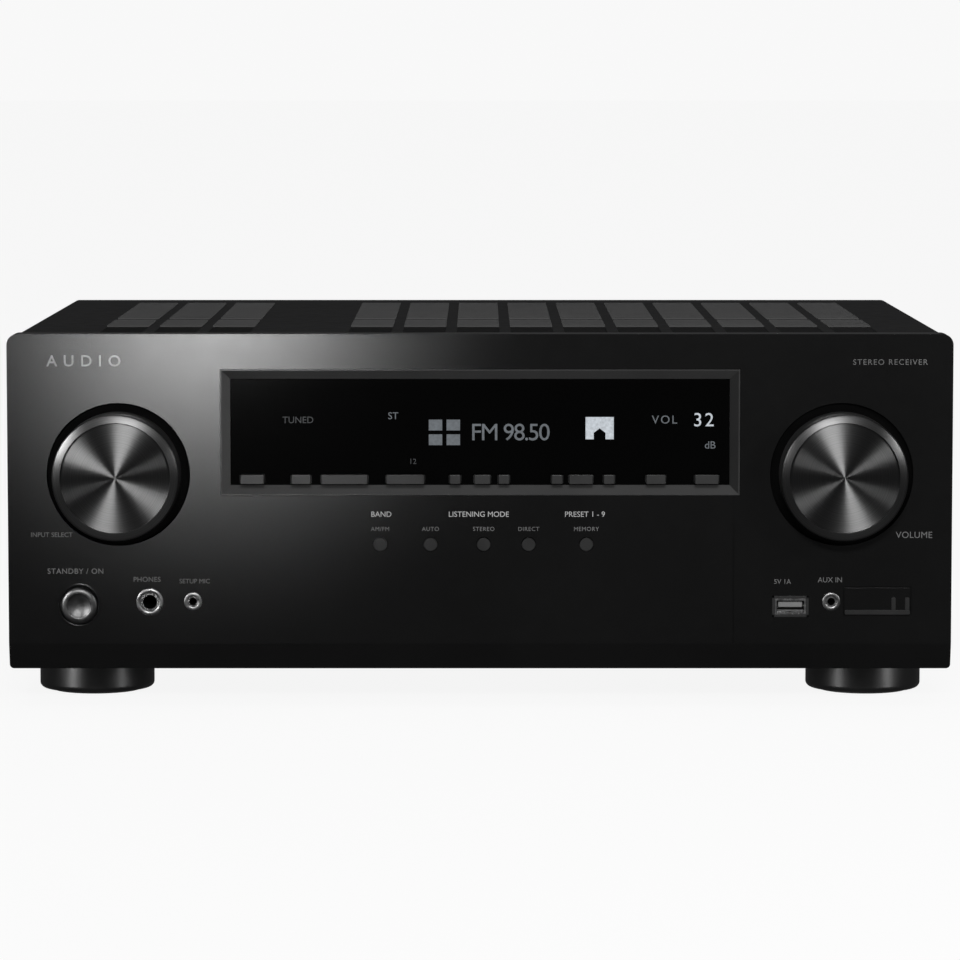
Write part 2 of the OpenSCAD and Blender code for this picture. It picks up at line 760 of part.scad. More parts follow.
// Mains inlet: flanged housing with a cavity and two flat pins
module ac_inlet() {
    depth = 17;
    color([0.1, 0.1, 0.1]) {
        difference() {
            union() {
                y_extrude([rear_y, rear_y + 2]) rounded([inlet_x - 24, inlet_x + 24],
                    [inlet_z - 13, inlet_z + 13], 4);
                block([inlet_x - 14, inlet_x + 14], [rear_y - depth - 2, rear_y + 1],
                    [inlet_z - 10, inlet_z + 10]);
            }
            block([inlet_x - 12, inlet_x + 12], [rear_y + 2 - depth, rear_y + 3], [inlet_z - 8, inlet_z + 8]);
            for (s = [-1, 1]) y_rod(screw_hole_r, [rear_y - 1, rear_y + 3], inlet_x + 20 * s, inlet_z);
        }
        for (s = [-1, 1])
            block([inlet_x + 5 * s - 1, inlet_x + 5 * s + 1], [rear_y + 1 - depth, rear_y - 3],
                [inlet_z - 2, inlet_z + 2]);
    }
}

// ---------- feet and fasteners ----------

// Hollow moulded foot with a rounded lower edge and a recess for its screw
module foot() {
    edge = 2.6;
    rotate_extrude() difference() {
        union() {
            translate([0, pad_t]) square([foot_r - edge, base_z0 - pad_t]);
            translate([0, pad_t + edge]) square([foot_r, base_z0 - pad_t - edge]);
            translate([foot_r - edge, pad_t + edge]) circle(r = edge);
        }
        translate([-foot_r, 0]) square([foot_r, 40]);
        translate([-1, 0]) square([3.2, 40]);
        translate([-1, 0]) square([10, 13]);
    }
}

module at_feet() {
    for (x = [-foot_x, foot_x]) for (y = [foot_front_y, foot_rear_y]) translate([x, y, 0]) children();
}

module feet() {
    color([0.06, 0.06, 0.06]) at_feet() foot();
}

// Felt ring under each foot
module foot_pads() {
    color("dimgray") at_feet() difference() {
        cylinder(r = 21, h = pad_t);
        translate([0, 0, -1]) cylinder(r = 11, h = pad_t + 2);
    }
}

module foot_screws() {
    color("silver") at_feet() {
        translate([0, 0, 10]) cylinder(r = 4, h = 3);
        translate([0, 0, 12]) cylinder(r = 2, h = base_z1 + 2 - 12);
    }
}

// Pan-head screws: panel to frame, cover to tray and cover to rear panel
module case_screws() {
    color("silver") {
        for (p = boss_at) {
            y_rod(head_r, [frame_y1, frame_y1 + head_h], p[0], p[1]);
            y_rod(screw_r, [panel_back - 6, frame_y1 + 0.5], p[0], p[1]);
        }
        for (s = [-1, 1]) for (y = side_screw_y) {
            outer = cover_hw + 0.8;
            x_rod(head_r, s > 0 ? [cover_hw, outer] : [-outer, -cover_hw], y, side_screw_z);
            x_rod(screw_r, s > 0 ? [cover_in - 6, cover_hw + 0.3] : [-cover_hw - 0.3, -cover_in + 6],
                y, side_screw_z);
        }
        for (x = lip_screw_x) {
            y_rod(head_r, [rear_y + cover_t, rear_y + cover_t + head_h], x, lip_screw_z);
            y_rod(screw_r, [rear_y - 6, rear_y + cover_t + 0.5], x, lip_screw_z);
        }
    }
}

chassis_base();
front_subframe();
rear_panel();
top_cover();
front_panel();
display_bezel();
display_window();
display_module();
front_board();
main_board();
amplifier_board();
ribbon_cable();
heat_sink();
output_transistors();
transformer_core();
transformer_coil();
filter_capacitors();
tuner_module();
rotary_encoders();
tact_switches();
headphone_jack();
mini_jacks();
usb_port();
front_video_port();
video_cap();
feet();
foot_pads();
case_screws();
foot_screws();
ac_inlet();
speaker_terminal_block();
speaker_posts();
rca_jacks();
video_ports();
power_button();
knob(-1);  // input_knob
knob_shaft(-1);  // input_shaft
knob(1);  // volume_knob
knob_shaft(1);  // volume_shaft
for (i = [1:KEYS]) display_key(i - 1);
for (i = [1:LOWER_KEYS]) lower_key(i - 1);
for (i = [1:POSTS]) terminal_cap(i - 1);
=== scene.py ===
"""Looks of the stereo receiver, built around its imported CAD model. Metres, +Z up, front towards -Y."""
import json
import math

import bmesh
import bpy
from mathutils import Matrix, Vector


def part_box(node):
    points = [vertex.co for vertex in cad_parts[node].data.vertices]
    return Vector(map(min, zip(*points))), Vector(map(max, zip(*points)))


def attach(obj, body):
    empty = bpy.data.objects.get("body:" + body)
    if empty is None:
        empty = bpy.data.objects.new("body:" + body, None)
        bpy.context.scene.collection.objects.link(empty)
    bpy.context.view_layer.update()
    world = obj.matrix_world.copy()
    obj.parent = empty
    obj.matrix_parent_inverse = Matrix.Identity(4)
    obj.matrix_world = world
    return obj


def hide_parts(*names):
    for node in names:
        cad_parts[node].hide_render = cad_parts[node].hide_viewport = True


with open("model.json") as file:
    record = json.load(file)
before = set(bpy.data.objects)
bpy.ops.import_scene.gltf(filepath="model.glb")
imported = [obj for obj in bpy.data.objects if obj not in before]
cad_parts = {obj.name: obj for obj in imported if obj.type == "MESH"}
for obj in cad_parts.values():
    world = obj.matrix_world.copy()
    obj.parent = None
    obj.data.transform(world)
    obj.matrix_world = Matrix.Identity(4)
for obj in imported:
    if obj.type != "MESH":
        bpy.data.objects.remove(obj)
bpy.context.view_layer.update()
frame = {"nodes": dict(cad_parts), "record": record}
nodes = frame["nodes"]
scene = bpy.context.scene
MM = 0.001


# ---------- places, all worked out from the CAD frame ----------

def low(node):
    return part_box(node)[0]


def high(node):
    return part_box(node)[1]


def middle(node):
    lo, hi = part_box(node)
    return (lo + hi) / 2


def on_face(node):
    """The point on the front panel's face in front of a node's middle."""
    return Vector((middle(node).x, face_y, middle(node).z))


face_y = low("front_panel").y
rear_y = high("rear_panel").y
cover_hi = high("top_cover")
window_lo, window_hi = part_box("display_window")
window_mid_z = (window_lo.z + window_hi.z) / 2
KNOBS = ("input_knob", "volume_knob")
DISPLAY_KEYS = [n for n in nodes if n.startswith("display_key_")]
LOWER_KEYS = sorted(n for n in nodes if n.startswith("lower_key_"))
TERMINAL_CAPS = sorted(n for n in nodes if n.startswith("terminal_cap_"))


# ---------- materials ----------

# Most of a noise texture's values lie between these two.
NOISE_LOW, NOISE_HIGH = 0.3, 0.7
# The Mix node's sockets for two colours and for their blend.
MIX_FIRST, MIX_SECOND, MIX_RESULT = 6, 7, 2
# How far across the patches of uneven tone and uneven gloss are, in metres.
PLASTIC_TONE_PATCH, PLASTIC_GLOSS_PATCH = 0.03, 0.006
METAL_TONE_PATCH, METAL_GLOSS_PATCH = 0.012, 0.002
RINGS_ACROSS = 170


def srgb(value):
    """A grey or a colour given as 0 to 1 display values, in linear light."""
    channels = value if isinstance(value, (tuple, list)) else (value,) * 3
    return tuple(c / 12.92 if c <= 0.04045 else ((c + 0.055) / 1.055) ** 2.4 for c in channels)


class Shader:
    """A Principled material whose nodes are added one at a time."""

    def __init__(self, name, roughness, metallic=0.0, specular=0.5):
        self.material = bpy.data.materials.new(name)
        self.material.use_nodes = True
        self.tree = self.material.node_tree
        self.bsdf = self.tree.nodes["Principled BSDF"]
        self.bsdf.inputs["Roughness"].default_value = roughness
        self.bsdf.inputs["Metallic"].default_value = metallic
        self.bsdf.inputs["Specular IOR Level"].default_value = specular
        self.height = None

    def node(self, kind, **settings):
        made = self.tree.nodes.new(kind)
        for key, value in settings.items():
            setattr(made, key, value)
        return made

    def link(self, out, into):
        self.tree.links.new(out, into)

    def noise(self, size, stretch=(1, 1, 1), detail=3.0):
        """Noise whose blotches are about size metres across, drawn out by stretch."""
        coords = self.node("ShaderNodeTexCoord")
        mapping = self.node("ShaderNodeMapping")
        mapping.inputs["Scale"].default_value = [1 / s for s in stretch]
        texture = self.node("ShaderNodeTexNoise")
        texture.inputs["Scale"].default_value = 1 / size
        texture.inputs["Detail"].default_value = detail
        self.link(coords.outputs["Object"], mapping.inputs["Vector"])
        self.link(mapping.outputs["Vector"], texture.inputs["Vector"])
        return texture.outputs["Fac"]

    def spread(self, value, lowest, highest):
        """A noise value's usual range spread over lowest to highest."""
        ranged = self.node("ShaderNodeMapRange")
        self.link(value, ranged.inputs["Value"])
        for socket, number in (("From Min", NOISE_LOW), ("From Max", NOISE_HIGH),
                               ("To Min", lowest), ("To Max", highest)):
            ranged.inputs[socket].default_value = number
        return ranged.outputs["Result"]

    def colour(self, value, first, second):
        """Base colour blends from first to second over the noise value's usual range."""
        mix = self.node("ShaderNodeMix", data_type="RGBA")
        self.link(self.spread(value, 0.0, 1.0), mix.inputs["Factor"])
        mix.inputs[MIX_FIRST].default_value = (*first, 1)
        mix.inputs[MIX_SECOND].default_value = (*second, 1)
        self.link(mix.outputs[MIX_RESULT], self.bsdf.inputs["Base Color"])

    def roughness(self, value, lowest, highest):
        self.link(self.spread(value, lowest, highest), self.bsdf.inputs["Roughness"])

    def bump(self, value, depth):
        """Adds a relief of that depth in metres on top of the relief already there."""
        made = self.node("ShaderNodeBump")
        made.inputs["Strength"].default_value = 1.0
        made.inputs["Distance"].default_value = depth
        self.link(value, made.inputs["Height"])
        if self.height is not None:
            self.link(self.height, made.inputs["Normal"])
        self.height = made.outputs["Normal"]
        self.link(self.height, self.bsdf.inputs["Normal"])


def moulded(name, dark, light, rough, grain=0.0004, depth=0.00001, specular=0.5, uneven=0.03):
    """Moulded plastic: fine texture, slow changes of tone, gloss uneven by that much."""
    s = Shader(name, rough, specular=specular)
    s.colour(s.noise(PLASTIC_TONE_PATCH), srgb(dark), srgb(light))
    s.roughness(s.noise(PLASTIC_GLOSS_PATCH, detail=5), rough - uneven, rough + uneven)
    s.bump(s.noise(grain, detail=2), depth)
    return s


def metal(name, dark, light, rough, stretch=(1, 1, 1), grain=0.0004, depth=0.000004):
    """Bare or plated metal with faint drawn grain along the stretched axis."""
    s = Shader(name, rough, metallic=1.0)
    s.colour(s.noise(METAL_TONE_PATCH, stretch), srgb(dark), srgb(light))
    s.roughness(s.noise(METAL_GLOSS_PATCH, stretch, detail=5), rough - 0.05, rough + 0.08)
    s.bump(s.noise(grain, stretch, detail=2), depth)
    return s


def panel_material():
    """Front panel: black, semi-gloss, with a fine hairline grain running across it."""
    s = moulded("panel_black", 0.03, 0.038, 0.2, grain=0.0006, depth=0.0000004, specular=0.4,
                uneven=0.006)
    hairlines = s.noise(0.0003, (80, 1, 1), detail=2)
    s.bump(hairlines, 0.0000005)
    return s.material


def powder_coat(name, tone):
    """Powder-coated steel: small orange-peel bumps under a satin skin."""
    s = moulded(name, tone, tone + 0.02, 0.46, grain=0.0009, depth=0.00002, specular=0.3)
    s.bump(s.noise(0.00025, detail=2), 0.000006)
    return s.material


def spun_metal(name, tone, rough, anisotropy):
    """Lathe-turned aluminium: rings around the knob's axis, so highlights run as wedges."""
    tone_swing, rough_swing, quarter_turn = 0.04, 0.02, 0.25
    s = Shader(name, rough, metallic=1.0)
    coords = s.node("ShaderNodeTexCoord")
    from_axis = s.node("ShaderNodeVectorMath", operation="SUBTRACT")
    from_axis.inputs[1].default_value = (0.5, 0.5, 0.5)
    s.link(coords.outputs["Generated"], from_axis.inputs[0])
    across = s.node("ShaderNodeVectorMath", operation="MULTIPLY")
    across.inputs[1].default_value = (1, 0, 1)
    s.link(from_axis.outputs["Vector"], across.inputs[0])
    radius = s.node("ShaderNodeVectorMath", operation="LENGTH")
    s.link(across.outputs["Vector"], radius.inputs[0])
    rings = s.node("ShaderNodeTexNoise", noise_dimensions="1D")
    rings.inputs["Scale"].default_value = RINGS_ACROSS
    rings.inputs["Detail"].default_value = 3
    s.link(radius.outputs["Value"], rings.inputs["W"])
    s.colour(rings.outputs["Fac"], srgb(tone - tone_swing), srgb(tone + tone_swing))
    s.roughness(rings.outputs["Fac"], rough - rough_swing, rough + rough_swing)
    s.bsdf.inputs["Anisotropic"].default_value = anisotropy
    s.bsdf.inputs["Anisotropic Rotation"].default_value = quarter_turn
    tangent = s.node("ShaderNodeTangent", direction_type="RADIAL", axis="Y")
    s.link(tangent.outputs["Tangent"], s.bsdf.inputs["Tangent"])
    return s.material


def glowing(name, colour, strength):
    """Lit segments of the display, slightly uneven as a real module's are."""
    s = Shader(name, 0.6)
    s.colour(s.noise(0.004), (0.01, 0.01, 0.01), (0.02, 0.02, 0.02))
    level = s.spread(s.noise(0.0012), 0.75, 1.1)
    tint = s.node("ShaderNodeMix", data_type="RGBA", blend_type="MULTIPLY")
    tint.inputs["Factor"].default_value = 1.0
    tint.inputs[MIX_FIRST].default_value = (*colour, 1)
    s.link(level, tint.inputs[MIX_SECOND])
    s.link(tint.outputs[MIX_RESULT], s.bsdf.inputs["Emission Color"])
    s.bsdf.inputs["Emission Strength"].default_value = strength
    return s.material


def printed(name, tone):
    """Screen-printed ink."""
    return moulded(name, tone - 0.05, tone + 0.03, 0.55, grain=0.0002).material


PANEL = panel_material()
COVER = powder_coat("cover_black", 0.1)
# The louvres are the cover's black powder coat painted lighter: a painted highlight where their edges
# catch the light.
LOUVRE_PAINTED_LIGHT = powder_coat("louvre_painted_light", 0.26)
REAR = powder_coat("rear_black", 0.15)
BEZEL = moulded("bezel_black", 0.12, 0.14, 0.3, grain=0.0002, depth=0.000001, uneven=0.012).material
KEY = moulded("key_black", 0.11, 0.13, 0.36, grain=0.0002, depth=0.000003).material
SMALL_KEY = moulded("small_key_black", 0.07, 0.09, 0.35, grain=0.0002, depth=0.000003).material
FOOT = moulded("foot_black", 0.03, 0.045, 0.31, grain=0.0006, depth=0.000003).material
BLACK_PLASTIC = moulded("connector_black", 0.1, 0.13, 0.42).material
RED_PLASTIC = moulded("terminal_red", (0.62, 0.05, 0.06), (0.7, 0.08, 0.08), 0.3).material
WHITE_PLASTIC = moulded("insulator_white", 0.7, 0.76, 0.4).material
FELT = moulded("pad_felt", 0.16, 0.3, 0.95, grain=0.0008, depth=0.0002, specular=0.1).material
BOARD = moulded("board_green", (0.04, 0.26, 0.13), (0.05, 0.32, 0.16), 0.35).material
DEVICE = moulded("device_black", 0.09, 0.14, 0.5).material
SLEEVE = moulded("capacitor_sleeve", (0.05, 0.07, 0.2), (0.07, 0.09, 0.26), 0.28).material
RIBBON = moulded("ribbon_grey", 0.5, 0.62, 0.5).material
TONGUE = moulded("socket_tongue", 0.38, 0.44, 0.5).material
WINDOW = moulded("window_gloss", 0.012, 0.014, 0.05, grain=0.02, depth=0.0000002, specular=0.12,
                 uneven=0.002).material
GLASS = moulded("display_glass", 0.1, 0.14, 0.1, grain=0.002).material
NICKEL = metal("nickel", 0.62, 0.7, 0.22).material
POLISHED = metal("button_polish", 0.3, 0.35, 0.35, grain=0.001, depth=0.000001).material
SOCKET_METAL = metal("socket_nickel", 0.45, 0.52, 0.3).material
GOLD = metal("gold_plate", (0.8, 0.62, 0.26), (0.88, 0.72, 0.36), 0.2).material
STEEL = metal("zinc_steel", 0.66, 0.69, 0.4, (2.5, 1, 1)).material
SCREW = metal("screw_black", 0.2, 0.28, 0.35).material
EXTRUDED = metal("extruded_aluminium", 0.68, 0.78, 0.32, (1, 1, 12)).material
IRON = metal("core_iron", 0.25, 0.36, 0.5, (1, 30, 1)).material
COPPER = metal("coil_copper", (0.6, 0.33, 0.16), (0.75, 0.45, 0.25), 0.35, (1, 1, 0.1)).material
TIN = metal("tinned_can", 0.7, 0.8, 0.3, (1, 1, 6)).material
SPUN = spun_metal("spun_aluminium", 0.36, 0.31, 1.0)
SPUN_RIM = spun_metal("turned_rim", 0.3, 0.32, 0.7)
# Near-black and almost unreflective: painted shade in the knob wells, the screws' cross recesses and the
# aerial socket's hole, and the black of the sockets' plastic liners.
PAINTED_SHADE_BLACK = moulded("painted_shade_black", 0.02, 0.03, 0.9, specular=0.05).material
INK = printed("ink_grey", 0.62)
FAINT_INK = printed("ink_faint", 0.36)
NAME_METAL = metal("name_letters", 0.55, 0.65, 0.4).material
LIT = glowing("display_bright", (0.86, 0.93, 1.0), 0.62)
LIT_MIDDLE = glowing("display_middle", (0.8, 0.9, 1.0), 0.13)
LIT_DIM = glowing("display_dim", (0.8, 0.9, 1.0), 0.022)

NODE_LOOKS = {
    PANEL: ["front_panel", "video_cap"],
    COVER: ["top_cover"],
    REAR: ["rear_panel"],
    BEZEL: ["display_bezel"],
    WINDOW: ["display_window"],
    GLASS: ["display_module"],
    KEY: DISPLAY_KEYS,
    SMALL_KEY: LOWER_KEYS,
    POLISHED: ["power_button"],
    FOOT: ["feet"],
    FELT: ["foot_pads"],
    BOARD: ["front_board", "main_board", "amplifier_board"],
    DEVICE: ["output_transistors", "tact_switches"],
    SLEEVE: ["filter_capacitors"],
    RIBBON: ["ribbon_cable"],
    NICKEL: ["headphone_jack", "mini_jacks", "usb_port", "front_video_port", "video_ports", "rca_jacks"],
    GOLD: ["speaker_posts"],
    STEEL: ["chassis_base", "front_subframe", "input_shaft", "volume_shaft"],
    SCREW: ["case_screws", "foot_screws"],
    EXTRUDED: ["heat_sink"],
    IRON: ["transformer_core"],
    COPPER: ["transformer_coil"],
    TIN: ["tuner_module", "rotary_encoders"],
    BLACK_PLASTIC: ["ac_inlet", "speaker_terminal_block", *TERMINAL_CAPS[1::2]],
    RED_PLASTIC: TERMINAL_CAPS[0::2],
    SPUN: list(KNOBS),
}


# Edges sharper than this, in degrees, stay sharp in shading or are bevelled.
SHARP_ANGLE = 35


def paint(obj, material):
    obj.data.materials.clear()
    obj.data.materials.append(material)


def soften(obj, width, angle=SHARP_ANGLE):
    """Rounds an object's sharp edges without touching its own vertices."""
    weld = obj.modifiers.new("weld", "WELD")
    weld.merge_threshold = 0.01 * MM
    bevel = obj.modifiers.new("bevel", "BEVEL")
    bevel.width = width
    bevel.segments = 3
    bevel.limit_method = "ANGLE"
    bevel.angle_limit = math.radians(angle)
    bevel.harden_normals = True
    bevel.use_clamp_overlap = True


for look, names in NODE_LOOKS.items():
    for name in names:
        paint(nodes[name], look)

soften(nodes["front_panel"], 0.8 * MM)
soften(nodes["display_bezel"], 0.3 * MM, angle=20)
soften(nodes["video_cap"], 0.25 * MM)
for name in DISPLAY_KEYS + LOWER_KEYS:
    soften(nodes[name], 0.35 * MM)


# ---------- mesh helpers ----------

def add_piece(name, mesh, material, body="chassis", smooth=True):
    """A new piece that rides on a body."""
    obj = bpy.data.objects.new(name, mesh)
    scene.collection.objects.link(obj)
    paint(obj, material)
    if smooth:
        mesh.shade_smooth()
        mesh.set_sharp_from_angle(angle=math.radians(SHARP_ANGLE))
    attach(obj, body)
    return obj


def mesh_from(name, bm):
    bmesh.ops.recalc_face_normals(bm, faces=bm.faces)
    mesh = bpy.data.meshes.new(name)
    bm.to_mesh(mesh)
    bm.free()
    return mesh


def turned(bm, profile, centre, segments, outward):
    """Turns (radius, distance) points about a line along Y through centre.

    Distances run from centre along -Y when outward is -1, and along +Y when it is 1.
    The first and last points lie on the axis if their radius is 0."""
    rings = []
    for radius, distance in profile:
        y = centre.y + outward * distance
        if radius == 0:
            rings.append([bm.verts.new((centre.x, y, centre.z))])
            continue
        angles = (2 * math.pi * i / segments for i in range(segments))
        rings.append([bm.verts.new((centre.x + radius * math.cos(a), y, centre.z + radius * math.sin(a)))
                      for a in angles])
    for one, two in zip(rings, rings[1:]):
        for i in range(segments):
            j = (i + 1) % segments
            corners = [one[i % len(one)], one[j % len(one)], two[j % len(two)], two[i % len(two)]]
            bm.faces.new(list(dict.fromkeys(corners)))
    return rings


def turned_loop(bm, profile, centre, segments, outward=-1):
    """Turns a profile about a line along Y and joins its last point to its first."""
    rings = turned(bm, profile, centre, segments, outward)
    first, last = rings[0], rings[-1]
    for i in range(segments):
        j = (i + 1) % segments
        bm.faces.new((last[i], last[j], first[j], first[i]))


def turned_piece(name, profile, centre, material, segments, body="chassis", outward=-1):
    bm = bmesh.new()
    turned(bm, profile, centre, segments, outward)
    return add_piece(name, mesh_from(name, bm), material, body)


def add_block(bm, lo, hi):
    """A box between two corners."""
    size = Vector(hi) - Vector(lo)
    place = Matrix.Translation((Vector(lo) + Vector(hi)) / 2) @ Matrix.Diagonal((*size, 1))
    bmesh.ops.create_cube(bm, size=1, matrix=place)


def add_prism(bm, one, two):
    """A solid between two loops of corners that match one to one."""
    loops = [[bm.verts.new(corner) for corner in loop] for loop in (one, two)]
    for loop in loops:
        bm.faces.new(loop)
    for i in range(len(one)):
        j = (i + 1) % len(one)
        bm.faces.new((loops[0][i], loops[0][j], loops[1][j], loops[1][i]))


# Thickness of printed ink, the font size that gives capitals 1 high, and a raised letter's bevel.
INK_LIFT = 0.04 * MM
SIZE_PER_HEIGHT = 1.35
BEVEL_SHARE = 0.15


def lettering(name, words, x, z, height, material, spacing, y=face_y, rear=False, raised=0.0):
    """Printed or raised words, centred on x and z, on the surface at y."""
    curve = bpy.data.curves.new(name, "FONT")
    curve.body = words
    curve.align_x = "CENTER"
    curve.align_y = "CENTER"
    curve.size = height * SIZE_PER_HEIGHT
    curve.space_character = spacing
    curve.extrude = max(raised, INK_LIFT) / 2
    curve.bevel_depth = raised * BEVEL_SHARE
    curve.resolution_u = 4
    text = bpy.data.objects.new(name + "_curve", curve)
    scene.collection.objects.link(text)
    bpy.context.view_layer.update()
    mesh = bpy.data.meshes.new_from_object(text.evaluated_get(bpy.context.evaluated_depsgraph_get()))
    bpy.data.objects.remove(text)
    away = 1 if rear else -1
    upright = Matrix.Rotation(math.radians(90), 4, "X")
    turn = Matrix.Rotation(math.radians(180 if rear else 0), 4, "Z") @ upright
    lift = away * max(raised, INK_LIFT) / 2
    mesh.transform(Matrix.Translation((x, y + lift, z)) @ turn)
    mesh.name = name
    add_piece(name, mesh, material, smooth=False)


# ---------- knobs ----------

DISC_SHARE = 0.877
CROWN = 0.3 * MM


def knob_pieces(node):
    """Turned knob: a slightly crowned face of spun metal, a wide bevel around it, and a plain side."""
    lo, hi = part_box(node)
    centre = Vector((middle(node).x, lo.y, middle(node).z))
    radius = (hi.x - lo.x) / 2
    depth = hi.y - lo.y
    disc = radius * DISC_SHARE
    edge = disc - 0.4 * MM
    face = [(edge * i / 8, -0.45 * MM - CROWN * (i / 8) ** 2) for i in range(9)]
    face_piece = turned_piece(node + "_face", face, centre, SPUN, body=node, segments=192)
    shoulder = radius - 0.9 * MM
    profile = [(edge, -0.8 * MM), (edge, -0.2 * MM), (edge + 0.12 * MM, 0), (disc, 0),
               (shoulder, -1.15 * MM)]
    profile += [(shoulder + 0.9 * MM * math.sin(a), -1.15 * MM - 1.1 * MM * (1 - math.cos(a)))
                for a in (math.radians(18 * i) for i in range(1, 6))]
    profile += [(radius, -(depth - 1.2 * MM)), (radius - 0.25 * MM, -(depth - 0.3 * MM)),
                (radius - 0.6 * MM, -depth), (radius - 2 * MM, -depth), (radius - 2 * MM, -depth * 0.35),
                (3.2 * MM, -depth * 0.35)]
    rim_piece = turned_piece(node + "_rim", profile, centre, SPUN_RIM, body=node, segments=192)
    for piece in (face_piece, rim_piece):
        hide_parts(node)
    return [face_piece, rim_piece]


WELL_RADIUS = 33 * MM
WELL_DEPTH = 2.5 * MM


def well_lining(node):
    """Matt black sheet on the floor and wall of the round well that a knob turns in: painted shade in the
    well.
    """
    wall = WELL_RADIUS - 0.05 * MM
    floor_depth = WELL_DEPTH - 0.05 * MM
    profile = [(5.2 * MM, -floor_depth), (wall - 0.6 * MM, -floor_depth), (wall, -floor_depth + 0.6 * MM),
               (wall, -0.25 * MM), (wall + 0.03 * MM, -0.2 * MM)]
    shade_sheet = turned_piece(node + "_well", profile, on_face(node), PAINTED_SHADE_BLACK, segments=128)


KNOB_PIECES = {}
for knob in KNOBS:
    KNOB_PIECES[knob] = knob_pieces(knob)
    well_lining(knob)


# ---------- cover: raised louvres between the vent slots ----------

VENT_PITCH = 25.2 * MM
VENT_LENGTH = 20 * MM
VENT_STEP = 8 * MM
VENT_WIDTH = 4.4 * MM
RIGHT_COLUMNS = [175.5 * MM - VENT_PITCH * i for i in range(10)]
LEFT_COLUMNS = [-117 * MM - VENT_PITCH * i for i in range(3)]
# Each block of slots: where its first slot starts, its first bar with a louvre, and its last bar.
VENT_BLOCKS = ((face_y + 32 * MM, 6, 12), (face_y + 148 * MM, 0, 18))


def louvre_column(bm, x):
    """A low rib with a sloping front, on each bar between two slots, but for the frontmost slots."""
    top = cover_hi.z
    bar = VENT_STEP - VENT_WIDTH
    half = VENT_LENGTH / 2
    for start, first, last in VENT_BLOCKS:
        for j in range(first, last + 1):
            y0 = start + VENT_STEP * j - bar + 0.3 * MM
            y1 = y0 + bar - 0.6 * MM
            section = [(y0, top - 0.02 * MM), (y0 + 0.35 * MM, top + 0.75 * MM),
                       (y0 + 1.3 * MM, top + 0.85 * MM), (y1, top - 0.02 * MM)]
            add_prism(bm, [(x - half, y, z) for y, z in section], [(x + half, y, z) for y, z in section])


bm = bmesh.new()
for column in RIGHT_COLUMNS + LEFT_COLUMNS:
    louvre_column(bm, column)
# Painted lighter than the cover, as a highlight on the louvres' lit edges.
louvres = add_piece("vent_louvres", mesh_from("vent_louvres", bm), LOUVRE_PAINTED_LIGHT, smooth=False)


# ---------- printing on the front ----------

def front_words(name, words, x, z, height, material=FAINT_INK, spacing=1.0, raised=0.0):
    """Words on the front panel: place, height and relief in millimetres."""
    lettering(name, words, x * MM, z * MM, height * MM, material, spacing=spacing, raised=raised * MM)


front_words("nameplate", "AUDIO", -182, 160.4, 5.4, NAME_METAL, spacing=1.75, raised=0.5)
front_words("type_print", "STEREO RECEIVER", 188.5, 160, 2.7, spacing=1.2)
front_words("input_print", "INPUT SELECT", -197.4, 80.3, 2.25)
front_words("volume_print", "VOLUME", 200.1, 80.2, 3.1, spacing=1.05)
front_words("power_print", "STANDBY / ON", -186.5, 63.4, 2.6, spacing=1.1)
front_words("phones_print", "PHONES", -153.6, 59.6, 2.4, spacing=1.05)
front_words("mic_print", "SETUP MIC", -131.6, 58.8, 2.2)
front_words("usb_print", "5V 1A", 139.5, 58.6, 2.3)
front_words("aux_print", "AUX IN", 161.5, 59.4, 2.5)
front_words("band_print", "BAND", -45.5, 89.8, 2.6, INK)
front_words("mode_print", "LISTENING MODE", -0.6, 89.8, 2.6, INK)
front_words("preset_print", "PRESET 1 - 9", 48.3, 89.8, 2.6, INK)
CAPTIONS = ("AM/FM", "AUTO", "STEREO", "DIRECT", "MEMORY")
CAPTION_RISE = 7 * MM
for node, words in zip(LOWER_KEYS, CAPTIONS):
    key = middle(node)
    lettering(node + "_print", words, key.x, key.z + CAPTION_RISE, 2.0 * MM, FAINT_INK, spacing=1.1)


# ---------- display ----------

lens_y = window_lo.y
LIT_LIFT = 0.03 * MM


def lit_words(name, words, x, z, height, material, spacing=1.0):
    """Words in the display window: place and height in millimetres."""
    lettering(name, words, x * MM, z * MM, height * MM, material, y=lens_y, spacing=spacing)


def lit_shape(name, outlines, material):
    """Lit segments just on the window's face, from outlines of (x, z) points in millimetres."""
    bm = bmesh.new()
    for outline in outlines:
        add_prism(bm, *([(x * MM, y, z * MM) for x, z in outline] for y in (lens_y - LIT_LIFT, lens_y)))
    add_piece(name, mesh_from(name, bm), material, smooth=False)


def box_outline(x, z, width, height):
    return [(x - width / 2, z - height / 2), (x + width / 2, z - height / 2),
            (x + width / 2, z + height / 2), (x - width / 2, z + height / 2)]


lit_words("lit_tuned", "TUNED", -83.8, 133.1, 3.2, LIT_DIM)
lit_words("lit_stereo", "ST", -40, 135, 3.4, LIT_MIDDLE)
lit_words("lit_frequency", "FM 98.50", 14, 127.2, 8.2, LIT_MIDDLE, spacing=0.88)
lit_words("lit_preset", "12", -31, 114, 2.6, LIT_DIM)
speaker_grid = [box_outline(-16.4 + 4.1 * i, 127.5 + 3.4 * j, 6.2, 5.0) for i in (-1, 1) for j in (-1, 1)]
lit_shape("lit_speakers", speaker_grid, LIT_MIDDLE)
house = [(48.6, 124.3), (52.4, 124.3), (52.4, 127.3), (55.1, 129.4), (57.8, 127.3), (57.8, 124.3),
         (61.6, 124.3), (61.6, 134.6), (48.6, 134.6)]
lit_shape("lit_source", [house], LIT)
lit_words("lit_level", "VOL", 85, 133.2, 4.0, LIT_MIDDLE, spacing=1.25)
lit_words("lit_number", "32", 103, 133, 6.6, LIT, spacing=1.2)
lit_words("lit_unit", "dB", 106, 121.5, 3.6, LIT_MIDDLE)


# ---------- front sockets and power button ----------

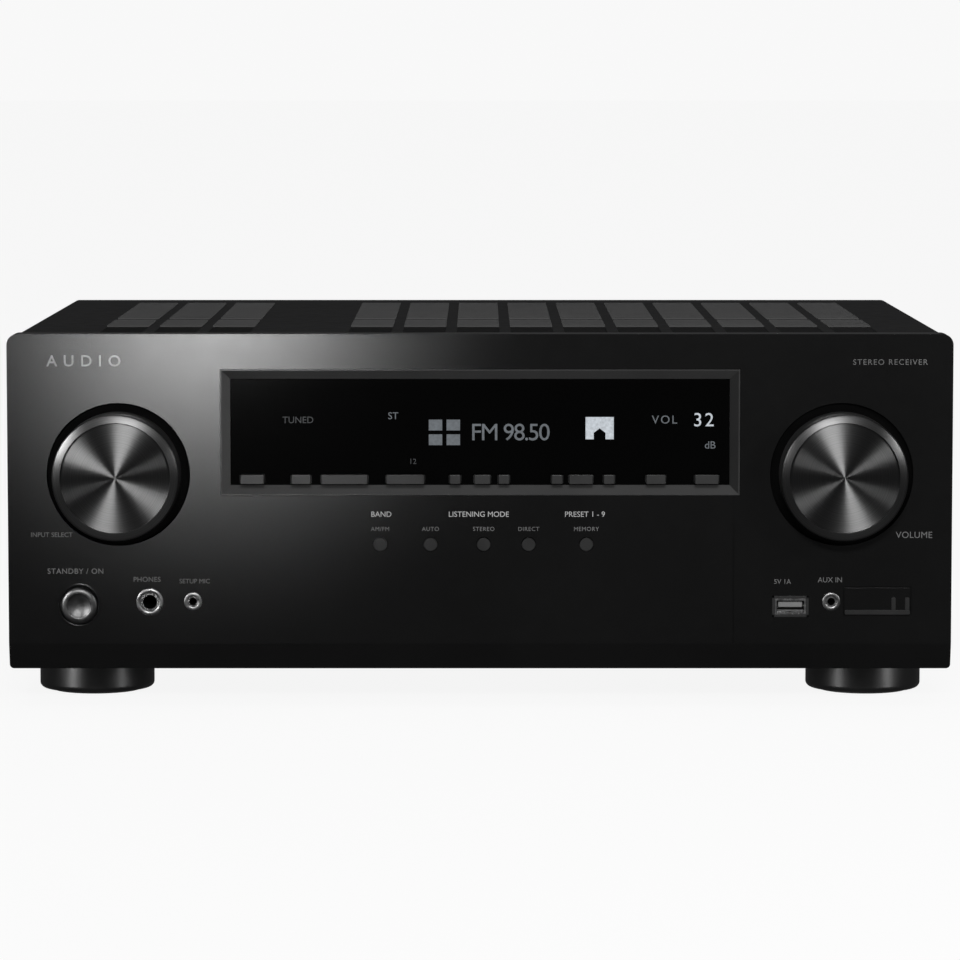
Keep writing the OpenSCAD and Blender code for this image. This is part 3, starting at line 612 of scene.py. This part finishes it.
def ring(name, centre, outer, inner, out, material):
    """A collar on the front panel with rounded lips. It stands out by out."""
    lip = min(outer - inner, out) * 0.35
    cut = lip * 0.3
    profile = [(outer, 0), (outer, out - lip), (outer - cut, out - cut), (outer - lip, out),
               (inner + lip, out), (inner + cut, out - cut), (inner, out - lip), (inner, 0)]
    bm = bmesh.new()
    turned_loop(bm, profile, centre, segments=64)
    return add_piece(name, mesh_from(name, bm), material)


def mount_on_face(name):
    """The point on the front panel's face where a mount's axis meets it."""
    x, _, z = next(m["pos_m"] for m in frame["record"]["mounts"] if m["name"] == name)
    return Vector((x, face_y, z))


def socket_liner(name, centre, radius, depth):
    """Black tube with a closed end, inside a socket's bore: the black of a real jack's plastic, in a
    near-black matt material that also paints the shade deep in the bore.
    """
    inside = radius - 0.3 * MM
    profile = [(radius - 0.02 * MM, -0.9 * MM), (radius - 0.02 * MM, -0.1 * MM), (inside, -0.15 * MM),
               (inside, -depth), (inside * 0.4, -depth - 0.3 * MM), (0, -depth - 0.35 * MM)]
    turned_piece(name, profile, centre, PAINTED_SHADE_BLACK, segments=48)


def power_button_piece():
    """Polished button: a rounded rim around a dished face, with the CAD button's flange and stem."""
    lo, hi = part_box("power_button")
    centre = Vector((middle("power_button").x, lo.y, middle("power_button").z))
    radius, rim = 8.6 * MM, 3.4 * MM
    flange, stem = radius + 1.4 * MM, 2.5 * MM
    stem_end = lo.y - hi.y
    profile = [(0, -1.5 * MM), (1.6 * MM, -1.4 * MM), (3.4 * MM, -1.05 * MM), (radius - rim, -0.45 * MM)]
    profile += [(radius - rim / 2 - rim / 2 * math.cos(a), -0.45 * MM - 1.4 * MM * (a / math.pi) ** 3
                 + 0.45 * MM * math.sin(a)) for a in (math.radians(15 * i) for i in range(1, 12))]
    profile += [(radius, -2.3 * MM), (radius, -5.6 * MM), (flange, -5.6 * MM), (flange, -6.8 * MM),
                (stem, -6.8 * MM), (stem, stem_end), (0, stem_end)]
    piece = turned_piece("power_button_face", profile, centre, POLISHED, body="power_button",
                         segments=128)
    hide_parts("power_button")
    return piece


# The small bright parts of the front, which the left softbox lights.
small_metal = [power_button_piece()]
ring("power_ring", on_face("power_button"), 10.2 * MM, 9.1 * MM, 0.35 * MM, PANEL)
phones = mount_on_face("headphone_socket")
small_metal.append(ring("phones_ring", phones, 6.2 * MM, 4.4 * MM, 1.2 * MM, SOCKET_METAL))
socket_liner("phones_liner", phones, 3.25 * MM, 27 * MM)
for jack in ("setup_mic_socket", "aux_in_socket"):
    place = mount_on_face(jack)
    small_metal.append(ring(jack + "_ring", place, 4.1 * MM, 2.5 * MM, 0.9 * MM, SOCKET_METAL))
    socket_liner(jack + "_liner", place, 1.8 * MM, 12 * MM)


def rounded_block(bm, lo, hi, edge):
    """A box between two corners with every edge rounded."""
    before = set(bm.verts)
    add_block(bm, lo, hi)
    made = [v for v in bm.verts if v not in before]
    edges = {e for v in made for e in v.link_edges}
    bmesh.ops.bevel(bm, geom=made + list(edges), offset=edge, segments=2, affect="EDGES")


def block_piece(name, blocks, material, body="chassis"):
    """Rounded boxes in one piece: each is (low corner, high corner, edge radius) in millimetres."""
    bm = bmesh.new()
    for lo, hi, edge in blocks:
        rounded_block(bm, Vector(lo) * MM, Vector(hi) * MM, edge * MM)
    return add_piece(name, mesh_from(name, bm), material, body)


def usb_inside():
    """Grey tongue with four gold contacts over a bright sprung floor, in a raised frame."""
    x, z, y = middle("usb_port").x / MM, middle("usb_port").z / MM, face_y / MM
    block_piece("usb_tongue", [((x - 5.6, y + 0.9, z - 0.4), (x + 5.6, y + 13, z + 2.0), 0.25)], TONGUE)
    plate = ((x - 6.2, y + 0.2, z - 2.65), (x + 6.2, y + 12, z - 1.5), 0.3)
    floor_plate = block_piece("usb_floor", [plate], SOCKET_METAL)
    contacts = [((x + k - 0.5, y + 1.4, z - 0.46), (x + k + 0.5, y + 10, z - 0.25), 0.05)
                for k in (-3.5, -1, 1, 3.5)]
    block_piece("usb_contacts", contacts, GOLD)
    frame_bars = [((x - 8.4, y - 0.45, z - 4.9), (x + 8.4, y + 0.1, z - 3.7), 0.25),
                  ((x - 8.4, y - 0.45, z + 3.7), (x + 8.4, y + 0.1, z + 4.9), 0.25)]
    frame_bars += [((x + s * 7.8 - 0.6, y - 0.45, z - 4.9), (x + s * 7.8 + 0.6, y + 0.1, z + 4.9), 0.25)
                   for s in (-1, 1)]
    block_piece("usb_frame", frame_bars, BEZEL)
    return floor_plate


small_metal.append(usb_inside())


def cap_grip():
    """A finger rail along the bottom of the socket cap, with two short posts at its right end."""
    lo, hi = (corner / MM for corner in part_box("video_cap"))
    y = face_y / MM
    left, right, bottom = lo.x + 0.3, hi.x - 0.3, 43.4
    bars = [((left, y - 0.7, bottom), (right, y + 0.1, bottom + 2.2), 0.3)]
    bars += [((right - k - 2, y - 0.6, bottom + 2.0), (right - k, y + 0.1, bottom + 8), 0.3)
             for k in (0.3, 6.6)]
    block_piece("cap_grip", bars, SMALL_KEY, body="video_cap")


cap_grip()


# ---------- screws: a flat black cross on each head that shows, painted shade for its recessed drive ---

def cross_mesh(bm, place):
    """A cross 3.2 mm across, drawn flat as painted shade for a recessed drive, and laid where the matrix
    puts it.
    """
    long, wide = 1.6 * MM, 0.38 * MM
    outline = [(wide, -long), (wide, -wide), (long, -wide), (long, wide), (wide, wide), (wide, long),
               (-wide, long), (-wide, wide), (-long, wide), (-long, -wide), (-wide, -wide), (-wide, -long)]
    add_prism(bm, *([place @ Vector((x, y, z * MM)) for x, y in outline] for z in (-0.05, 0.04)))


def facing(axis, place):
    """A matrix that lays +Z along an axis at a place."""
    return Matrix.Translation(place) @ Vector(axis).to_track_quat("Z", "Y").to_matrix().to_4x4()


SIDE_SCREW_Y = (-90 * MM, 50 * MM)
SIDE_SCREW_Z = 34 * MM
LIP_SCREW_X = (-180 * MM, -60 * MM, 60 * MM, 180 * MM)
FOOT_HEAD_RADIUS = 4 * MM
screws_lo, screws_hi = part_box("case_screws")
bm = bmesh.new()
for y in SIDE_SCREW_Y:
    cross_mesh(bm, facing((1, 0, 0), (screws_hi.x, y, SIDE_SCREW_Z)))
    cross_mesh(bm, facing((-1, 0, 0), (screws_lo.x, y, SIDE_SCREW_Z)))
for x in LIP_SCREW_X:
    cross_mesh(bm, facing((0, 1, 0), (x, screws_hi.y, cover_hi.z - 5 * MM)))
foot_lo, foot_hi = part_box("foot_screws")
for x in (foot_lo.x + FOOT_HEAD_RADIUS, foot_hi.x - FOOT_HEAD_RADIUS):
    for y in (foot_lo.y + FOOT_HEAD_RADIUS, foot_hi.y - FOOT_HEAD_RADIUS):
        cross_mesh(bm, facing((0, 0, -1), (x, y, foot_lo.z)))
# The crosses are painted shade: they stand in for the shadow inside each recessed cross drive.
add_piece("painted_screw_recesses", mesh_from("painted_screw_recesses", bm), PAINTED_SHADE_BLACK, smooth=False)


# ---------- rear connectors ----------

PHONO_X = [(70 + 24 * i) * MM for i in range(5)]
VIDEO_X = [(30 + 26 * i) * MM for i in range(5)]
phono_end = high("rca_jacks").y
inlet_x, inlet_z = middle("ac_inlet").x / MM, middle("ac_inlet").z / MM
panel_back = rear_y / MM


def phono_insulators(name, z, material):
    """Coloured washers on the panel and coloured rings in the mouths of one row of phono sockets."""
    bm = bmesh.new()
    for x in PHONO_X:
        for outer, inner, y, thick in ((7.2, 5.65, rear_y, 0.8), (3.6, 1.75, phono_end, 0.06)):
            profile = [(inner * MM, 0), (inner * MM, thick * MM), ((outer - 0.2) * MM, thick * MM),
                       (outer * MM, thick * 0.6 * MM), (outer * MM, 0)]
            turned_loop(bm, profile, Vector((x, y, z)), segments=48, outward=1)
    add_piece(name, mesh_from(name, bm), material)


phono_insulators("phono_lower_rings", 48 * MM, RED_PLASTIC)
phono_insulators("phono_upper_rings", 70 * MM, WHITE_PLASTIC)

video_lo, video_hi = (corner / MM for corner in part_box("video_ports"))
video_mid = (video_lo.z + video_hi.z) / 2
tongues = [((x / MM - 5.4, panel_back - 9, video_mid - 0.2),
            (x / MM + 5.4, panel_back - 0.8, video_mid + 0.9), 0.15) for x in VIDEO_X]
block_piece("video_tongues", tongues, BLACK_PLASTIC)
pins = [((inlet_x + dx - 1.1, panel_back - 14, inlet_z - 2.1),
         (inlet_x + dx + 1.1, panel_back - 2.6, inlet_z + 2.1), 0.4) for dx in (-5, 5)]
block_piece("inlet_pins", pins, STEEL)

AERIAL_X, AERIAL_Z = -70 * MM, 110 * MM
AERIAL_RADIUS = 4.7 * MM
AERIAL_END = rear_y + 10 * MM


def aerial_socket():
    """Thread around the aerial socket's stub, and a rim, an insulator and a flat black disc of painted
    shade for the contact hole on its end.
    """
    end = Vector((AERIAL_X, AERIAL_END, AERIAL_Z))
    thread = []
    for i in range(9):
        start = -8.4 * MM + i * 0.85 * MM
        thread += [(AERIAL_RADIUS - 0.05 * MM, start), (AERIAL_RADIUS + 0.22 * MM, start + 0.4 * MM)]
    thread += [(AERIAL_RADIUS - 0.05 * MM, -0.75 * MM), (AERIAL_RADIUS - 0.02 * MM, -0.3 * MM)]
    turned_piece("aerial_thread", thread, end, NICKEL, segments=64, outward=1)
    rim = [(AERIAL_RADIUS, -0.3 * MM), (AERIAL_RADIUS, 0.25 * MM), (4.4 * MM, 0.4 * MM),
           (3.6 * MM, 0.4 * MM), (3.4 * MM, 0.05 * MM)]
    turned_piece("aerial_rim", rim, end, NICKEL, segments=64, outward=1)
    face = [(3.5 * MM, 0.02 * MM), (3.4 * MM, 0.12 * MM), (0.9 * MM, 0.12 * MM), (0.7 * MM, 0.06 * MM)]
    turned_piece("aerial_insulator", face, end, WHITE_PLASTIC, segments=64, outward=1)
    # A flat black disc: painted shade where the contact hole is.
    hole_shade = [(0.75 * MM, 0.07 * MM), (0, 0.05 * MM)]
    turned_piece("aerial_hole_shade", hole_shade, end, PAINTED_SHADE_BLACK, segments=32, outward=1)


aerial_socket()


RIDGES = 26


def knurl(node):
    """Sloping ridges around a speaker terminal's cap, in the cap's own material."""
    lo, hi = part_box(node)
    centre, radius = middle(node), (hi.x - lo.x) / 2
    low_y, high_y = lo.y + 1.2 * MM, hi.y - 1.6 * MM
    slope = 0.5 * MM
    bm = bmesh.new()
    for i in range(RIDGES):
        a = 2 * math.pi * i / RIDGES
        out = Vector((math.cos(a), 0, math.sin(a)))
        side = Vector((-math.sin(a), 0, math.cos(a))) * 0.42 * MM
        base = [Vector((centre.x, y, centre.z)) + out * (radius - 0.1 * MM) + k * side
                for y, k in ((low_y, -1), (low_y, 1), (high_y, 1), (high_y, -1))]
        top = [Vector((centre.x, y, centre.z)) + out * (radius + 0.32 * MM) + k * 0.35 * side
               for y, k in ((low_y + slope, -1), (low_y + slope, 1),
                            (high_y - slope, 1), (high_y - slope, -1))]
        add_prism(bm, base, top)
    name = node + "_knurl"
    add_piece(name, mesh_from(name, bm), nodes[node].data.materials[0], node, smooth=False)


for node in TERMINAL_CAPS:
    knurl(node)


# ---------- printing on the rear ----------

def rear_words(name, words, x, z, height):
    """Printed words on the rear panel: place and height in millimetres."""
    lettering(name, words, x * MM, z * MM, height * MM, INK, y=rear_y, rear=True, spacing=1.05)


def outline_print(name, boxes):
    """Thin printed frames on the rear panel: each box is (x0, x1, z0, z1) in millimetres."""
    line = 0.35
    bm = bmesh.new()
    for x0, x1, z0, z1 in boxes:
        for left, right, bottom, top in ((x0, x1, z0, z0 + line), (x0, x1, z1 - line, z1),
                                         (x0, x0 + line, z0, z1), (x1 - line, x1, z0, z1)):
            add_block(bm, Vector((left, panel_back, bottom)) * MM,
                      Vector((right, panel_back + 0.04, top)) * MM)
    add_piece(name, mesh_from(name, bm), INK, smooth=False)


outline_print("rear_frames", [(56, 180, 34, 86), (18, 148, 92, 116), (-108, -8, 38, 88),
                              (-92, -50, 98, 126), (-213, -157, 36, 76)])
rear_words("rear_audio", "AUDIO IN", 118, 80.5, 3)
rear_words("rear_video", "VIDEO IN", 70, 110.5, 3)
rear_words("rear_video_out", "OUT", 134, 110.5, 3)
rear_words("rear_speakers", "SPEAKERS", -57, 81, 3)
rear_words("rear_aerial", "ANTENNA", -70, 121.5, 2.6)
rear_words("rear_mains", "AC IN", -185, 71.5, 3)
for i, x in enumerate(PHONO_X, 1):
    rear_words(f"rear_phono_{i}", str(i), x / MM, 58.9, 2.4)
for i, x in enumerate(VIDEO_X[:4], 1):
    rear_words(f"rear_video_{i}", str(i), x / MM, 94.6, 2)
for i, node in enumerate(TERMINAL_CAPS):
    rear_words(node + "_sign", "+" if i % 2 == 0 else "-", middle(node).x / MM, 42.5, 4)
rear_words("rear_left", "L", 61, 70, 2.6)
rear_words("rear_right", "R", 61, 48, 2.6)


# ---------- stage, lights and camera ----------

FLOOR_REACH = 40.0
floor_mesh = bpy.data.meshes.new("floor")
floor_corners = [(x * FLOOR_REACH, y * FLOOR_REACH, 0) for x, y in ((-1, -1), (1, -1), (1, 1), (-1, 1))]
floor_mesh.from_pydata(floor_corners, [], [(0, 1, 2, 3)])
floor = bpy.data.objects.new("floor", floor_mesh)
scene.collection.objects.link(floor)
floor_look = Shader("floor_pale", 0.9, specular=0.0)
floor_look.bsdf.inputs["Base Color"].default_value = (0.12, 0.12, 0.12, 1)
floor_look.bsdf.inputs["Emission Color"].default_value = (1, 1, 1, 1)
floor_look.bsdf.inputs["Emission Strength"].default_value = 0.9
paint(floor, floor_look.material)
floor.visible_glossy = False

BACKDROP = 0.94
FILL = 0.06
world = bpy.data.worlds.new("studio")
world.use_nodes = True
tree = world.node_tree
background = tree.nodes["Background"]
backdrop = tree.nodes.new("ShaderNodeBackground")
background.inputs["Color"].default_value = (FILL, FILL, FILL * 1.02, 1)
backdrop.inputs["Color"].default_value = (BACKDROP, BACKDROP, BACKDROP, 1)
path = tree.nodes.new("ShaderNodeLightPath")
choose = tree.nodes.new("ShaderNodeMixShader")
tree.links.new(path.outputs["Is Camera Ray"], choose.inputs["Fac"])
tree.links.new(background.outputs[0], choose.inputs[1])
tree.links.new(backdrop.outputs[0], choose.inputs[2])
tree.links.new(choose.outputs[0], tree.nodes["World Output"].inputs["Surface"])
scene.world = world


def hang(light, place, target):
    """A lamp at a place, turned towards a target."""
    lamp = bpy.data.objects.new(light.name, light)
    lamp.location = place
    lamp.rotation_euler = (Vector(target) - lamp.location).to_track_quat("-Z", "Y").to_euler()
    scene.collection.objects.link(lamp)
    return lamp


def softbox(name, place, target, width, height, power):
    light = bpy.data.lights.new(name, "AREA")
    light.shape = "RECTANGLE"
    light.size = width
    light.size_y = height
    light.energy = power
    lamp = hang(light, place, target)
    lamp.visible_camera = False
    return lamp


def spotlight(name, place, target, radius, cone, power):
    light = bpy.data.lights.new(name, "SPOT")
    light.spot_size = math.radians(cone)
    light.spot_blend = 1.0
    light.shadow_soft_size = radius
    light.energy = power
    lamp = hang(light, place, target)
    lamp.visible_camera = False
    return lamp


def lit_by(lamp, pieces, only=True):
    """The lamp lights only these pieces, or everything but them."""
    group = bpy.data.collections.new(lamp.name + "_pieces")
    for piece in pieces:
        group.objects.link(piece)
    if not only:
        for entry in group.collection_objects:
            entry.light_linking.link_state = "EXCLUDE"
    lamp.light_linking.receiver_collection = group


sun = bpy.data.lights.new("sky_sun", "SUN")
sun.energy = 0.5
sun.angle = math.radians(60)
hang(sun, (0, 0, 3), (0, 0.6, 0))

left_knob = on_face("input_knob")
right_knob = on_face("volume_knob")
top_front_box = softbox("top_front_box", (-0.065, -4.2, 1.55), (0, face_y, left_knob.z), 0.85, 0.3, 80)
lit_by(top_front_box, [nodes["top_cover"]], only=False)
left_box = softbox("left_box", (-1.14, -1.24, 0.53), left_knob, 0.45, 0.5, 26)
lit_by(left_box, KNOB_PIECES["input_knob"] + small_metal)
far_left_box = softbox("far_left_box", (-1.14, -1.24, 0.6), right_knob, 0.4, 0.5, 11)
lit_by(far_left_box, KNOB_PIECES["volume_knob"])
softbox("right_box", (1.0, -1.1, 0.45), right_knob, 0.2, 0.3, 5)
bezel_left = (low("display_bezel").x, face_y, window_mid_z)
bezel_box = softbox("bezel_box", (1.1, -1.4, 0.2), bezel_left, 0.3, 0.3, 16)
lit_by(bezel_box, [nodes["display_bezel"]])
for name, x, power in (("foot_left_box", -1.15, 16), ("foot_right_box", 1.15, 11.5)):
    foot_box = softbox(name, (x, -1.05, 0.16), (0, -0.1, 0.015), 0.14, 0.3, power)
    lit_by(foot_box, [nodes["feet"]])
rear_box = softbox("rear_box", (0.5, 1.7, 0.08), (0, rear_y, 0.08), 1.0, 0.12, 20)
lit_by(rear_box, [nodes["feet"], nodes["top_cover"], nodes["front_panel"], floor], only=False)
face_glow = spotlight("face_glow", (-0.258, -2.4, 0.11), (-0.126, face_y, 0.17), 0.06, 5.75, 24.8)
lit_by(face_glow, KNOB_PIECES["input_knob"] + KNOB_PIECES["volume_knob"], only=False)

CAMERA_DISTANCE, CAMERA_HEIGHT = 2.134, 0.2947
CAMERA_DOWN = 5.06
camera_data = bpy.data.cameras.new("camera")
camera_data.sensor_width = 36
camera_data.lens = 174.5
camera_data.clip_end = 200
camera = bpy.data.objects.new("camera", camera_data)
camera.location = (0, face_y - CAMERA_DISTANCE, CAMERA_HEIGHT)
camera.rotation_euler = (math.radians(90 - CAMERA_DOWN), 0, 0)
scene.collection.objects.link(camera)
scene.camera = camera
scene.view_settings.view_transform = "Standard"
